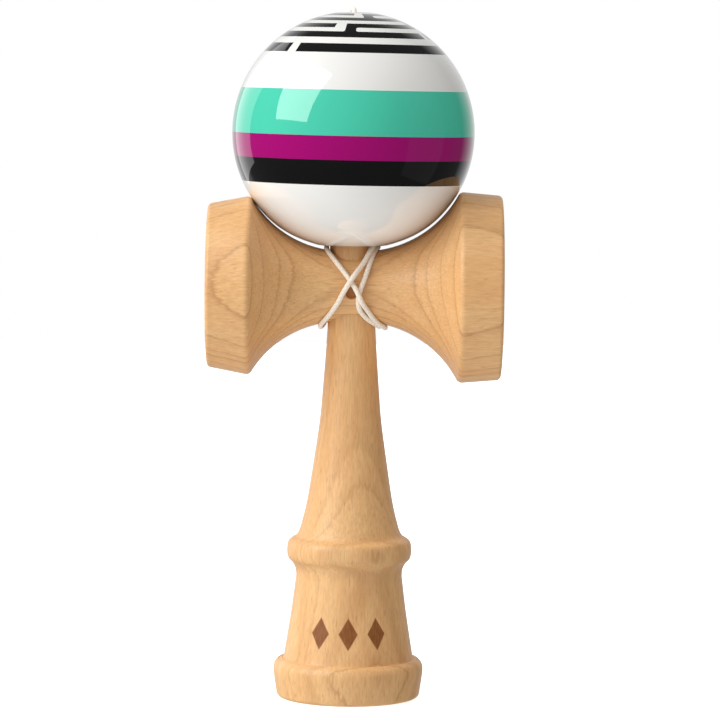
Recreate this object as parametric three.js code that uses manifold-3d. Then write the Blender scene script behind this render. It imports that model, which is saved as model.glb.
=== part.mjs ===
// Kendama: a turned wooden handle (ken) with a cross piece that carries two cups (sarado), a ball (tama)
// seated on the handle's spike, and the string that ties the ball to the handle.
//
// Millimetres, +Z up. The origin is the centre of the base rim, on the ken's axis. +X runs along the
// sarado towards the big cup, and -Y is the front.
import * as THREE from 'three';
import { mergeVertices } from 'three/addons/utils/BufferGeometryUtils.js';
import Module from 'manifold-3d';

// ---- driving dimensions -------------------------------------------------------------------------

const TURNED_SIDES = 40; // facets round a turned piece
const SMALL_SIDES = 20; // facets round a small hole, bead or knot

// Ken, from the base upwards: [radius, height] pairs unless they say otherwise.
const BASE_EDGE_RADIUS = 17.9;
const BASE_EDGE_ROUNDING = 1.2;
const BASE_CUP_RADIUS = 14.8;
const BASE_CUP_DEPTH = 7;
const FLANGE_BULGE = [18.65, 7.0];
const FLANGE_SHOULDER = [17.0, 9.75];
const BODY_FOOT = [16.25, 10.0];
const BODY_MIDDLE = [14.35, 21.5];
const BODY_WAIST = [13.35, 31.0];
const RING_BULGE = [15.6, 36.9];
const RING_TOP = [14.3, 39.7];
const SHAFT_FOOT = [12.2, 42.6];
const SHAFT_TAPER = [[10.7, 0.125], [9.1, 0.33], [7.65, 0.54], [6.95, 0.71], [6.4, 0.86]]; // radius, share of shaft
const SEAT_BOTTOM_RADIUS = 5.95; // the conical seat that the sarado is pressed onto
const SEAT_TOP_RADIUS = 5.5;
const SPIKE_TIP_RADIUS = 4.4;
const SPIKE_TIP_ROUNDING = 2.2;
const KNOT_HOLE_RADIUS = 2.5; // drilled into the ken from the back, wide enough to take the string's knot

// Sarado, along X at this height on the ken. "out" distances count from the ken's axis.
const SARADO_HEIGHT = 102.6;
const NECK_RADIUS = 8.8;
const SEAT_PAST_NECK = 1.7; // the ken's conical seat reaches this far past the neck, above and below
const BIG_CUP = {
  side: 1, flareStart: 2.4, flareRadius: 27.1, creaseRadius: 23.75,
  rimOut: 37.1, rimRadius: 22.95, cupRadius: 20.3, cupDepth: 10,
};
const SMALL_CUP = {
  side: -1, flareStart: 2.35, flareRadius: 26.3, creaseRadius: 22.25,
  rimOut: 35.8, rimRadius: 20.45, cupRadius: 17.8, cupDepth: 8.5,
};
const RIM_ROUNDING = 1.1;
const SEAT_GAP = 0.3; // ken seat to sarado bore
const STRING_HOLE_HEIGHT = SARADO_HEIGHT - 1.1; // drilled a little under the sarado's axis
const STRING_HOLE_RADIUS = 1.5;
const STRING_HOLE_MOUTH = 2.0; // countersunk radius at the neck's surface
const STRING_HOLE_MOUTH_DEPTH = 0.7;

// Tama: a ball whose lower half is turned a little flat, with the big hole for the spike.
const TAMA_RADIUS = 30;
const TAMA_LOWER_HEIGHT = 28.8;
const TAMA_SEAT_GAP = 0.3; // ball to the nearest point of the sarado
const BORE_RADIUS = 7.7;
const BORE_LIP_ROUNDING = 0.8;
const BORE_ROOF = 9.6; // wood left above the bore, on the axis
const TOP_HOLE_RADIUS = 1.4;
const TOP_HOLE_MOUTH = 3.6;
const TOP_HOLE_MOUTH_DEPTH = 1.9;

// Bead and knots.
const BEAD_RADIUS = 4.2;
const BEAD_HEIGHT = 7;
const BEAD_HOLE_RADIUS = 1.05;
const BEAD_TO_ROOF = 0.5;
const BEAD_KNOT_RADIUS = 2.0;
const BEAD_KNOT_HEIGHT = 3.0;
const KEN_KNOT_RADIUS = 2.1;
const KEN_KNOT_LENGTH = 4.0;
const KEN_KNOT_CENTRE = 0.4; // towards the back, from the ken's axis
const KNOT_TO_SPIKE = 0.5;
const FACE_GAP = 0.3; // between faces that meet

// String.
const STRING_DIAMETER = 1.25;
const STRING_SIDES = 8;
const WINDING_STEPS = 54;
const RISER_STEPS = 26;
const STRING_SPLIT = 0.642; // share of the whole string where the winding ends and the riser starts

// ---- positions worked out from those ------------------------------------------------------------

const seatHalf = NECK_RADIUS + SEAT_PAST_NECK;
const flareRadiusAt = (x) => {
  const cup = x < 0 ? SMALL_CUP : BIG_CUP;
  const out = Math.max(0, Math.abs(x) - cup.flareStart);
  return NECK_RADIUS + cup.flareRadius - Math.sqrt(cup.flareRadius ** 2 - out ** 2);
};
const creaseOut = (cup) => {
  const left = cup.flareRadius - (cup.creaseRadius - NECK_RADIUS);
  return cup.flareStart + Math.sqrt(cup.flareRadius ** 2 - left ** 2);
};
const ballDropAt = (radius) => TAMA_LOWER_HEIGHT * Math.sqrt(1 - (radius / TAMA_RADIUS) ** 2);

// The ball sits over the neck between the two flares, one gap above whichever point comes nearest.
const tamaCentre = (() => {
  let reach = 0;
  for (const cup of [BIG_CUP, SMALL_CUP]) {
    const crease = creaseOut(cup);
    for (let step = 0; step <= 60; step += 1) {
      const out = BORE_RADIUS + (crease - BORE_RADIUS) * (step / 60);
      if (out < TAMA_RADIUS) reach = Math.max(reach, flareRadiusAt(cup.side * out) + ballDropAt(out));
    }
  }
  return SARADO_HEIGHT + reach + TAMA_SEAT_GAP;
})();
const tamaTop = tamaCentre + TAMA_RADIUS;
const boreEnd = tamaTop - BORE_ROOF;
const beadTop = boreEnd - BEAD_TO_ROOF;
const beadBottom = beadTop - BEAD_HEIGHT;
const beadKnotTop = beadBottom - 2 * FACE_GAP;
const beadKnotBottom = beadKnotTop - BEAD_KNOT_HEIGHT;
const spikeTip = beadKnotBottom - KNOT_TO_SPIKE;

// ---- outlines -----------------------------------------------------------------------------------

const point = (radius, height) => new THREE.Vector2(radius, height);
const arc = (radius, height, size, from, to, steps) => {
  const points = [];
  for (let step = 0; step <= steps; step += 1) {
    const angle = THREE.MathUtils.degToRad(from + (to - from) * (step / steps));
    points.push(point(radius + size * Math.cos(angle), height + size * Math.sin(angle)));
  }
  return points;
};
const smooth = (pairs, steps) => new THREE.SplineCurve(pairs.map((pair) => point(...pair))).getPoints(steps);

// A cup is part of a sphere, from its deepest point on the axis out to its lip.
const cupArc = (lipRadius, depth, lipHeight, inward, steps) => {
  const size = (lipRadius ** 2 + depth ** 2) / (2 * depth);
  const points = [];
  for (let step = 0; step <= steps; step += 1) {
    const radius = lipRadius * (step / steps);
    const height = Math.sqrt(size ** 2 - radius ** 2) - (size - depth);
    points.push(point(radius, lipHeight + inward * height));
  }
  return points;
};
const withoutRepeats = (points) => points.filter(
  (here, index) => index === 0 || here.distanceTo(points[index - 1]) > 1e-4,
);

const kenOutline = () => {
  const edge = BASE_EDGE_ROUNDING;
  const shaftLength = SARADO_HEIGHT - seatHalf - SHAFT_FOOT[1];
  const shaft = SHAFT_TAPER.map(([radius, share]) => [radius, SHAFT_FOOT[1] + share * shaftLength]);
  return withoutRepeats([
    ...cupArc(BASE_CUP_RADIUS, BASE_CUP_DEPTH, 0, 1, 5),
    ...arc(BASE_EDGE_RADIUS - edge, edge, edge, -90, 0, 3),
    ...smooth([[BASE_EDGE_RADIUS, edge], FLANGE_BULGE, FLANGE_SHOULDER], 6),
    ...smooth([BODY_FOOT, BODY_MIDDLE, BODY_WAIST], 5),
    ...smooth([BODY_WAIST, RING_BULGE, RING_TOP, SHAFT_FOOT], 9),
    ...smooth([SHAFT_FOOT, ...shaft, [SEAT_BOTTOM_RADIUS, SARADO_HEIGHT - seatHalf]], 9),
    point(SEAT_TOP_RADIUS, SARADO_HEIGHT + seatHalf),
    ...arc(SPIKE_TIP_RADIUS - SPIKE_TIP_ROUNDING, spikeTip - SPIKE_TIP_ROUNDING, SPIKE_TIP_ROUNDING, 0, 90, 3),
    point(0, spikeTip),
  ]);
};

// One end of the sarado, from the middle of its neck to the deepest point of its cup.
const cupEndOutline = (cup) => {
  const crease = creaseOut(cup);
  const edge = RIM_ROUNDING;
  const neckToCrease = [];
  for (let step = 0; step <= 9; step += 1) {
    const out = cup.flareStart + (crease - cup.flareStart) * (step / 9);
    neckToCrease.push(point(flareRadiusAt(cup.side * out), out));
  }
  return [
    ...neckToCrease,
    ...arc(cup.rimRadius - edge, cup.rimOut - edge, edge, 0, 90, 3),
    ...cupArc(cup.cupRadius, cup.cupDepth, cup.rimOut, -1, 6).reverse(),
  ];
};
const saradoOutline = () => withoutRepeats([
  ...cupEndOutline(SMALL_CUP).map((here) => point(here.x, -here.y)).reverse(),
  ...cupEndOutline(BIG_CUP),
]);

const tamaOutline = () => {
  const lip = BORE_LIP_ROUNDING;
  const outerLip = BORE_RADIUS + 1.3 * lip;
  const outerLipHeight = tamaCentre - ballDropAt(outerLip);
  const points = [
    point(BORE_RADIUS, boreEnd),
    ...arc(BORE_RADIUS + lip, outerLipHeight + lip, lip, 180, 255, 3),
  ];
  const lowerStart = Math.acos(outerLip / TAMA_RADIUS);
  for (let step = 0; step < 9; step += 1) {
    const angle = lowerStart * (1 - step / 9);
    points.push(point(TAMA_RADIUS * Math.cos(angle), tamaCentre - TAMA_LOWER_HEIGHT * Math.sin(angle)));
  }
  const mouthAngle = Math.acos(TOP_HOLE_MOUTH / TAMA_RADIUS);
  for (let step = 0; step <= 12; step += 1) {
    const angle = mouthAngle * (step / 12);
    points.push(point(TAMA_RADIUS * Math.cos(angle), tamaCentre + TAMA_RADIUS * Math.sin(angle)));
  }
  const throat = tamaTop - TOP_HOLE_MOUTH_DEPTH;
  const flare = TOP_HOLE_MOUTH - TOP_HOLE_RADIUS;
  points.push(point(TOP_HOLE_RADIUS + 0.3 * flare, throat + 0.55 * TOP_HOLE_MOUTH_DEPTH));
  points.push(point(TOP_HOLE_RADIUS, throat), point(TOP_HOLE_RADIUS, boreEnd), points[0].clone());
  return points;
};

const barrelOutline = (radius, bottom, top, steps) => {
  const points = [];
  const middle = (bottom + top) / 2;
  for (let step = 0; step <= steps; step += 1) {
    const angle = THREE.MathUtils.degToRad(-60 + 120 * (step / steps));
    const height = middle + ((top - bottom) / 2) * (Math.sin(angle) / Math.sin(Math.PI / 3));
    points.push(point(radius * Math.cos(angle), height));
  }
  return points;
};

// ---- solids -------------------------------------------------------------------------------------

const wasm = await Module();
wasm.setup();

const turnedOnZ = (outline, sides) => new THREE.LatheGeometry(outline, sides).rotateX(Math.PI / 2);
const turnedOnX = (outline, sides) => new THREE.LatheGeometry(outline, sides).rotateZ(-Math.PI / 2);
const turnedOnY = (outline, sides) => new THREE.LatheGeometry(outline, sides);

const toSolid = (geometry) => {
  const bare = geometry.clone();
  bare.deleteAttribute('normal');
  bare.deleteAttribute('uv');
  const merged = mergeVertices(bare, 1e-4);
  const vertProperties = new Float32Array(merged.attributes.position.array);
  const triVerts = new Uint32Array(merged.index.array);
  return new wasm.Manifold(new wasm.Mesh({ numProp: 3, vertProperties, triVerts }));
};
const toGeometry = (solid) => {
  const { vertProperties, triVerts, numProp } = solid.getMesh();
  const positions = new Float32Array((vertProperties.length / numProp) * 3);
  for (let vertex = 0; vertex < positions.length / 3; vertex += 1) {
    for (let axis = 0; axis < 3; axis += 1) {
      positions[3 * vertex + axis] = vertProperties[numProp * vertex + axis];
    }
  }
  const geometry = new THREE.BufferGeometry();
  geometry.setAttribute('position', new THREE.BufferAttribute(positions, 3));
  geometry.setIndex(new THREE.BufferAttribute(new Uint32Array(triVerts), 1));
  geometry.computeVertexNormals();
  return geometry;
};

const kenGeometry = () => {
  const blank = toSolid(turnedOnZ(kenOutline(), TURNED_SIDES));
  const blindEnd = KEN_KNOT_CENTRE - KEN_KNOT_LENGTH / 2 - 2 * FACE_GAP;
  const reach = 2 * SEAT_BOTTOM_RADIUS;
  const knotHole = toSolid(turnedOnY([
    point(0, blindEnd), point(KNOT_HOLE_RADIUS, blindEnd), point(KNOT_HOLE_RADIUS, reach), point(0, reach),
  ], SMALL_SIDES).translate(0, 0, STRING_HOLE_HEIGHT));
  return toGeometry(blank.subtract(knotHole));
};

const saradoGeometry = () => {
  const blank = toSolid(turnedOnX(saradoOutline(), TURNED_SIDES).translate(0, 0, SARADO_HEIGHT));
  const kenBore = toSolid(turnedOnZ([
    point(0, SARADO_HEIGHT - seatHalf), point(SEAT_BOTTOM_RADIUS + SEAT_GAP, SARADO_HEIGHT - seatHalf),
    point(SEAT_TOP_RADIUS + SEAT_GAP, SARADO_HEIGHT + seatHalf), point(0, SARADO_HEIGHT + seatHalf),
  ], TURNED_SIDES));
  const reach = NECK_RADIUS + 1;
  const mouthStart = NECK_RADIUS - STRING_HOLE_MOUTH_DEPTH;
  const mouthSlope = (STRING_HOLE_MOUTH - STRING_HOLE_RADIUS) / STRING_HOLE_MOUTH_DEPTH;
  const widest = STRING_HOLE_RADIUS + mouthSlope * (reach - mouthStart);
  const throughHole = toSolid(turnedOnY([
    point(0, -reach), point(widest, -reach), point(STRING_HOLE_RADIUS, -mouthStart),
    point(STRING_HOLE_RADIUS, mouthStart), point(widest, reach), point(0, reach),
  ], SMALL_SIDES).translate(0, 0, STRING_HOLE_HEIGHT));
  return toGeometry(blank.subtract(kenBore).subtract(throughHole));
};

const beadGeometry = () => {
  const outline = barrelOutline(BEAD_RADIUS, beadBottom, beadTop, 6);
  outline.push(point(BEAD_HOLE_RADIUS, beadTop), point(BEAD_HOLE_RADIUS, beadBottom), outline[0].clone());
  return turnedOnZ(outline, SMALL_SIDES);
};

const knotOutline = (radius, bottom, top) => [
  point(0, bottom), ...barrelOutline(radius, bottom, top, 5), point(0, top),
];

// ---- string route -------------------------------------------------------------------------------

// Round the neck a point is [turn, x, lift]: degrees about the sarado's axis, with 0 at the front, 90 on
// top and falling as the string is wound on; the place along X; and how many millimetres the string rides
// above the neck where it crosses an earlier strand.
const WINDING_ROUTE = [
  [172, 0.75, 0.45], [158, 2.1, 0], [140, 4.3, 0], [125, 5.3, 0], [113, 5.55, 0], [101, 6.25, 0],
  [90, 6.4, 0], [76, 5.95, 0], [62, 5.3, 0], [45, 4.6, 0], [20, 3.4, 0], [-2, 2.1, 0], [-19, 1.6, 0],
  [-33, 1.95, 0], [-49, 3.4, 0], [-62, 4.95, 0], [-75, 6.45, 0], [-90, 6.95, 0], [-110, 6.3, 0],
  [-132, 4.0, 0], [-155, 0.9, 0], [-180, -2.4, 0], [-205, -4.9, 0], [-228, -6.1, 0], [-250, -6.3, 0],
  [-270, -6.4, 0], [-286, -6.3, 0], [-300, -5.6, 0], [-318, -3.9, 0], [-345, -0.8, 0.2],
  [-360, 0.9, 1.1], [-369, 1.8, 1.5], [-380, 2.7, 1.2], [-392, 3.75, 0.3], [-406, 4.9, 0],
  [-422, 6.4, 0], [-436, 7.9, 0], [-450, 8.4, 0], [-475, 7.9, 0], [-505, 6.6, 0], [-530, 5.9, 0.2],
  [-548, 5.4, 0.9], [-563, 4.8, 1.45], [-580, 4.5, 1.4], [-595, 4.45, 1.3], [-607, 4.95, 1.3],
  [-619, 6.05, 1.45], [-630, 6.35, 1.45], [-645, 5.75, 1.45], [-657, 4.85, 1.4], [-668, 4.0, 1.15],
  [-678, 3.2, 0.75], [-690, 2.0, 0.8], [-700, 0.9, 1.5], [-708, -0.1, 1.75], [-717, -1.2, 1.4],
  [-728, -2.3, 0.4], [-743, -3.5, 0], [-763, -5.4, 0], [-780, -7.1, 0], [-793, -7.7, 0],
  [-810, -7.5, 0], [-830, -6.8, 0], [-850, -6.2, 0], [-865, -5.8, 0],
];
const RISER_LEAN = 5.5; // degrees from straight behind the ball, towards the small cup

const windingPoint = ([turn, x, lift]) => {
  const angle = THREE.MathUtils.degToRad(turn);
  const radius = flareRadiusAt(x) + STRING_DIAMETER / 2 + FACE_GAP + lift;
  return new THREE.Vector3(x, -radius * Math.cos(angle), SARADO_HEIGHT + radius * Math.sin(angle));
};

// Up the back of the ball: degrees above the ball's equator, and the distance from its centre.
const riserPoint = (rise, distance) => {
  const angle = THREE.MathUtils.degToRad(rise);
  const lean = THREE.MathUtils.degToRad(RISER_LEAN);
  const back = distance * Math.cos(angle);
  return new THREE.Vector3(-back * Math.sin(lean), back * Math.cos(lean), tamaCentre + distance * Math.sin(angle));
};

const stringRoute = () => {
  const kenKnotBack = KEN_KNOT_CENTRE + KEN_KNOT_LENGTH / 2;
  const onBall = TAMA_RADIUS + STRING_DIAMETER / 2 + FACE_GAP;
  const points = [
    new THREE.Vector3(0, kenKnotBack + FACE_GAP, STRING_HOLE_HEIGHT),
    new THREE.Vector3(0, 5.2, STRING_HOLE_HEIGHT),
    new THREE.Vector3(0, 7.6, STRING_HOLE_HEIGHT),
    new THREE.Vector3(0.12, 9.5, STRING_HOLE_HEIGHT + 0.4),
    ...WINDING_ROUTE.map(windingPoint),
    ...[-30, -16, 0, 18, 36, 54, 68, 78].map((rise) => riserPoint(rise, onBall)),
    riserPoint(84.6, onBall),
    riserPoint(88.3, onBall - 1.2),
    new THREE.Vector3(0, 0, tamaTop - 2.4),
    new THREE.Vector3(0, 0, tamaTop - 4.2),
    new THREE.Vector3(0, 0, tamaTop - 7),
    new THREE.Vector3(0, 0, beadTop - 2),
    new THREE.Vector3(0, 0, beadKnotTop + FACE_GAP),
  ];
  return new THREE.CatmullRomCurve3(points, false, 'centripetal');
};

class Stretch extends THREE.Curve {
  constructor(whole, from, to) {
    super();
    this.whole = whole;
    this.from = from;
    this.to = to;
  }

  getPoint(share, target = new THREE.Vector3()) {
    return target.copy(this.whole.getPointAt(this.from + (this.to - this.from) * share));
  }
}

const stringGeometry = (stretch, steps) => {
  const section = new THREE.Shape();
  for (let side = 0; side < STRING_SIDES; side += 1) {
    const angle = ((side + 0.5) / STRING_SIDES) * 2 * Math.PI;
    const corner = [(STRING_DIAMETER / 2) * Math.cos(angle), (STRING_DIAMETER / 2) * Math.sin(angle)];
    if (side === 0) section.moveTo(...corner);
    else section.lineTo(...corner);
  }
  section.closePath();
  return new THREE.ExtrudeGeometry(section, { steps, extrudePath: stretch, curveSegments: 1 });
};

// ---- assembly -----------------------------------------------------------------------------------

const finish = (color, roughness) => new THREE.MeshStandardMaterial({ color, roughness, metalness: 0 });
const piece = (name, geometry, material) => {
  const mesh = new THREE.Mesh(geometry, material);
  mesh.name = name;
  return mesh;
};

const route = stringRoute();
route.arcLengthDivisions = 1200;
const splitGap = FACE_GAP / route.getLength();
const kenKnotEnds = [KEN_KNOT_CENTRE - KEN_KNOT_LENGTH / 2, KEN_KNOT_CENTRE + KEN_KNOT_LENGTH / 2];

const kendama = new THREE.Group();
kendama.name = 'kendama';
kendama.add(
  piece('ken', kenGeometry(), finish(0xe0ae77, 0.5)),
  piece('sarado', saradoGeometry(), finish(0xe3b47e, 0.5)),
  piece('tama', turnedOnZ(tamaOutline(), TURNED_SIDES), finish(0xf4f3ef, 0.12)),
  piece('bead', beadGeometry(), finish(0xd9b184, 0.55)),
  piece(
    'bead_knot',
    turnedOnZ(knotOutline(BEAD_KNOT_RADIUS, beadKnotBottom, beadKnotTop), SMALL_SIDES),
    finish(0xefd9c2, 0.9),
  ),
  piece(
    'ken_knot',
    turnedOnY(knotOutline(KEN_KNOT_RADIUS, ...kenKnotEnds), SMALL_SIDES).translate(0, 0, STRING_HOLE_HEIGHT),
    finish(0xefd9c2, 0.9),
  ),
  piece(
    'string_winding',
    stringGeometry(new Stretch(route, 0, STRING_SPLIT), WINDING_STEPS),
    finish(0xefd9c2, 0.9),
  ),
  piece(
    'string_riser',
    stringGeometry(new Stretch(route, STRING_SPLIT + splitGap, 1), RISER_STEPS),
    finish(0xefd9c2, 0.9),
  ),
);

export default kendama;
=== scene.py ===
# %% [markdown]
# # A kendama, cell by cell
#
# A kendama is a cup-and-ball toy: a turned beech handle (the ken), a turned cross piece with two cups
# (the sarado), a lacquered ball (the tama) that sits on the handle's spike, and a thin braided string.
# The frame holds the exact sizes and joints. This file gives each piece its finished surface.

# %% Load the frame
from math import acos, cos, pi, radians, sin, sqrt

import bmesh
import bpy
from mathutils import Matrix, Vector


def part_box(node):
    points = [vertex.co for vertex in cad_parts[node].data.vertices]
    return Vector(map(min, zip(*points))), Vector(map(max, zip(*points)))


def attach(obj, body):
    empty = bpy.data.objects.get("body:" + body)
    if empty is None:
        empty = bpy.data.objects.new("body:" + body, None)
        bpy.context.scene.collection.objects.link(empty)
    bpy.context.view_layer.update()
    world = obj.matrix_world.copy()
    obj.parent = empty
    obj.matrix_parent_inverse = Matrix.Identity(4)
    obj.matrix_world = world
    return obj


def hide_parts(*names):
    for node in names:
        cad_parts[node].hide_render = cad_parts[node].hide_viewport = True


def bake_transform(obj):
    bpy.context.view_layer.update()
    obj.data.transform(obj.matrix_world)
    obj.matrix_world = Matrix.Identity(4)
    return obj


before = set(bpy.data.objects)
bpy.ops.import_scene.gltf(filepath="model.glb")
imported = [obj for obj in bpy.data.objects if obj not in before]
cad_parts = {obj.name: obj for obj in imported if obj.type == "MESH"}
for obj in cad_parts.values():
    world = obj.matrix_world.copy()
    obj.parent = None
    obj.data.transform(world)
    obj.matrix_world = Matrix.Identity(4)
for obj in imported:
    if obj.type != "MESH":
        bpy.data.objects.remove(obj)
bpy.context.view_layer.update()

MM = 0.001
print("nodes:", sorted(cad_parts))

# %% [markdown]
# The places that everything else hangs on come from the frame: the ball's box gives its centre, with its
# radius given here, and the sarado's box gives the height of its axis. Nothing is fitted by eye.

# %% Places read from the frame
TAMA_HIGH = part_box("tama")[1]
SARADO_LOW, SARADO_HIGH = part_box("sarado")
BEAD_LOW, BEAD_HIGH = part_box("bead")
TAMA_RADIUS = 30.0
TOP_HOLE_MOUTH = 3.6  # radius where the string hole's mouth cuts the top of the ball off flat
TAMA_CENTRE = TAMA_HIGH.z / MM - sqrt(TAMA_RADIUS ** 2 - TOP_HOLE_MOUTH ** 2)
SARADO_HEIGHT = (SARADO_LOW.z + SARADO_HIGH.z) / 2 / MM
STRING_HOLE_HEIGHT = SARADO_HEIGHT - 1.1  # the string's hole is drilled a little under the sarado's axis
print("tama centre", round(TAMA_CENTRE, 2), "sarado height", round(SARADO_HEIGHT, 2))

# %% [markdown]
# ## Camera
#
# The toy is seen from the front by a long lens about 0.9 m away, a little above the middle of the ball,
# looking slightly down. A long lens keeps the cups and the base nearly as they are on the drawing.

# %% Camera
CAMERA_DISTANCE = 920.0
CAMERA_HEIGHT = 156.0
CAMERA_SIDE = 2.2
AIM_HEIGHT = 84.3
CAMERA_LENS = 185.5
CAMERA_ROLL = 0.6  # degrees; the camera is held a little off level

eye = Vector((CAMERA_SIDE, -CAMERA_DISTANCE, CAMERA_HEIGHT)) * MM
aim = Vector((CAMERA_SIDE, 0.0, AIM_HEIGHT)) * MM
camera_data = bpy.data.cameras.new("camera")
camera_data.lens = CAMERA_LENS
camera_data.clip_start = 0.05
camera_data.clip_end = 20.0
camera = bpy.data.objects.new("camera", camera_data)
bpy.context.scene.collection.objects.link(camera)
look = (aim - eye).to_track_quat("-Z", "Y").to_matrix().to_4x4()
camera.matrix_world = Matrix.Translation(eye) @ look @ Matrix.Rotation(radians(CAMERA_ROLL), 4, "Z")
bpy.context.scene.camera = camera
print("camera lens", CAMERA_LENS, "mm at", CAMERA_DISTANCE, "mm")

# %% [markdown]
# ## Helpers for making pieces
#
# Every wooden piece here is turned on a lathe, so each one starts as half an outline that is spun round
# its axis. The outline is a list of (radius, height) pairs in millimetres. Arcs are worked out, and long
# curves pass smoothly through a few chosen points.

# %% Outline helpers
def arc(radius, height, size, start, stop, steps):
    """Points on a circle of that size round (radius, height), from one angle in degrees to another."""
    turns = [radians(start + (stop - start) * step / steps) for step in range(steps + 1)]
    return [(radius + size * cos(turn), height + size * sin(turn)) for turn in turns]


def smooth(pairs, steps):
    """Points on a Catmull-Rom curve through the pairs, steps to each span."""
    points = [Vector(pair) for pair in pairs]
    guarded = [points[0]] + points + [points[-1]]
    curve = []
    for span in range(len(points) - 1):
        a, b, c, d = guarded[span:span + 4]
        for step in range(steps):
            t = step / steps
            v0, v1 = (c - a) * 0.5, (d - b) * 0.5
            place = (2 * b - 2 * c + v0 + v1) * t ** 3 + (3 * c - 3 * b - 2 * v0 - v1) * t ** 2 + v0 * t + b
            curve.append((place.x, place.y))
    return curve + [tuple(points[-1])]


def cup(lip_radius, depth, lip_height, inward, steps):
    """A cup is part of a ball's surface, from its deepest point on the axis out to its lip."""
    size = (lip_radius ** 2 + depth ** 2) / (2 * depth)
    radii = [lip_radius * step / steps for step in range(steps + 1)]
    return [(r, lip_height + inward * (sqrt(size ** 2 - r ** 2) - (size - depth))) for r in radii]


def eased(points, corner, reach, steps=6):
    """The outline with its corner point turned into a soft bend that starts a reach away on each side."""
    here = Vector(points[corner])

    def walk(step):
        left, index, place = reach, corner, here
        while True:
            index += step
            ahead = Vector(points[index])
            gap = (ahead - place).length
            if gap >= left:
                return place + (ahead - place) * (left / gap), index
            left, place = left - gap, ahead

    before, first = walk(-1)
    after, last = walk(1)
    bend = []
    for step in range(steps + 1):
        t = step / steps
        place = before * (1 - t) ** 2 + here * 2 * t * (1 - t) + after * t ** 2
        bend.append((place.x, place.y))
    return points[:first + 1] + bend + points[last:]


def nearest(points, target):
    """The index of the outline's point that lies nearest to a place."""
    return min(range(len(points)), key=lambda i: (Vector(points[i]) - Vector(target)).length)


print("outline helpers ready")

# %% [markdown]
# Spinning an outline with `bmesh.ops.spin` gives a clean grid of quads, which shades smoothly. A full
# spin needs `use_merge` so that the last ring joins the first. The poles are welded afterwards, and the
# normals are recalculated last, because the direction of a spin decides which way its faces look.

# %% Piece helpers
WELD = 0.002 * MM  # points closer than this are the same point
AXES = {  # turns a piece that was spun round Z to lie along another axis
    "X": Matrix.Rotation(pi / 2, 4, "Y"), "Y": Matrix.Rotation(-pi / 2, 4, "X"), "Z": Matrix.Identity(4),
}


def finished(name, bm):
    """Turns a bmesh, in metres, into a shown object that shades smoothly."""
    bmesh.ops.remove_doubles(bm, verts=bm.verts, dist=WELD)
    bmesh.ops.recalc_face_normals(bm, faces=bm.faces)
    for face in bm.faces:
        face.smooth = True
    mesh = bpy.data.meshes.new(name)
    bm.to_mesh(mesh)
    bm.free()
    piece = bpy.data.objects.new(name, mesh)
    bpy.context.scene.collection.objects.link(piece)
    return piece


def turned(name, outline, sides, axis="Z", centre=(0.0, 0.0, 0.0), closed=False):
    """Spins an outline round an axis through centre (in mm). A closed outline is a ring, such as a bead."""
    bm = bmesh.new()
    verts = [bm.verts.new((radius * MM, 0.0, height * MM)) for radius, height in outline]
    edges = [bm.edges.new(pair) for pair in zip(verts, verts[1:])]
    if closed:
        edges.append(bm.edges.new((verts[-1], verts[0])))
    bmesh.ops.spin(
        bm, geom=verts + edges, cent=(0, 0, 0), axis=(0, 0, 1), angle=2 * pi, steps=sides, use_merge=True,
    )
    place = Matrix.Translation(Vector(centre) * MM) @ AXES[axis]
    bmesh.ops.transform(bm, matrix=place, verts=bm.verts)
    return finished(name, bm)


def cut(piece, *tools):
    """Cuts the tools out of a piece with exact booleans, then throws the tools away."""
    for tool in tools:
        modifier = piece.modifiers.new("cut", "BOOLEAN")
        modifier.operation = "DIFFERENCE"
        modifier.solver = "EXACT"
        modifier.object = tool
    bpy.context.view_layer.update()
    evaluated = piece.evaluated_get(bpy.context.evaluated_depsgraph_get())
    mesh = bpy.data.meshes.new_from_object(evaluated)
    piece.modifiers.clear()
    piece.data = mesh
    for tool in tools:
        bpy.data.objects.remove(tool)
    return piece


def crisp(piece, angle):
    """Keeps edges sharper than that angle (in degrees) sharp in the shading."""
    bm = bmesh.new()
    bm.from_mesh(piece.data)
    for face in bm.faces:
        face.smooth = True
    for edge in bm.edges:
        edge.smooth = not (edge.is_manifold and edge.calc_face_angle(0.0) > radians(angle))
    bm.to_mesh(piece.data)
    bm.free()


def count(piece):
    """Prints how many faces a piece has."""
    print(piece.name, "has", len(piece.data.polygons), "faces")


print("piece helpers ready")

# %% [markdown]
# ## The string
#
# Kendama string is a thin braided nylon cord. It is knotted inside the ken, leaves the sarado by its rear
# string hole, is wound round the neck in three crossing strands, and then runs up behind the ball and in
# through the small hole on top, where a bead and a knot hold it. A cord could be a curve object, but a
# mesh can carry a UV map for its braid, so it is one. First come the sizes it lies on.

# %% String sizes
NECK_RADIUS = 8.8
FLARES = {1: (2.4, 27.1), -1: (2.35, 26.3)}  # side: where the sarado's flare starts, and the flare's radius
STRING_DIAMETER = 1.25
REST_GAP = 0.06  # how close the string lies to the wood and the ball
RISER_LEAN = 5.5  # degrees that the string leans to the left up the back of the ball
print("the string is", STRING_DIAMETER, "mm thick on a neck of radius", NECK_RADIUS, "mm")
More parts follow.
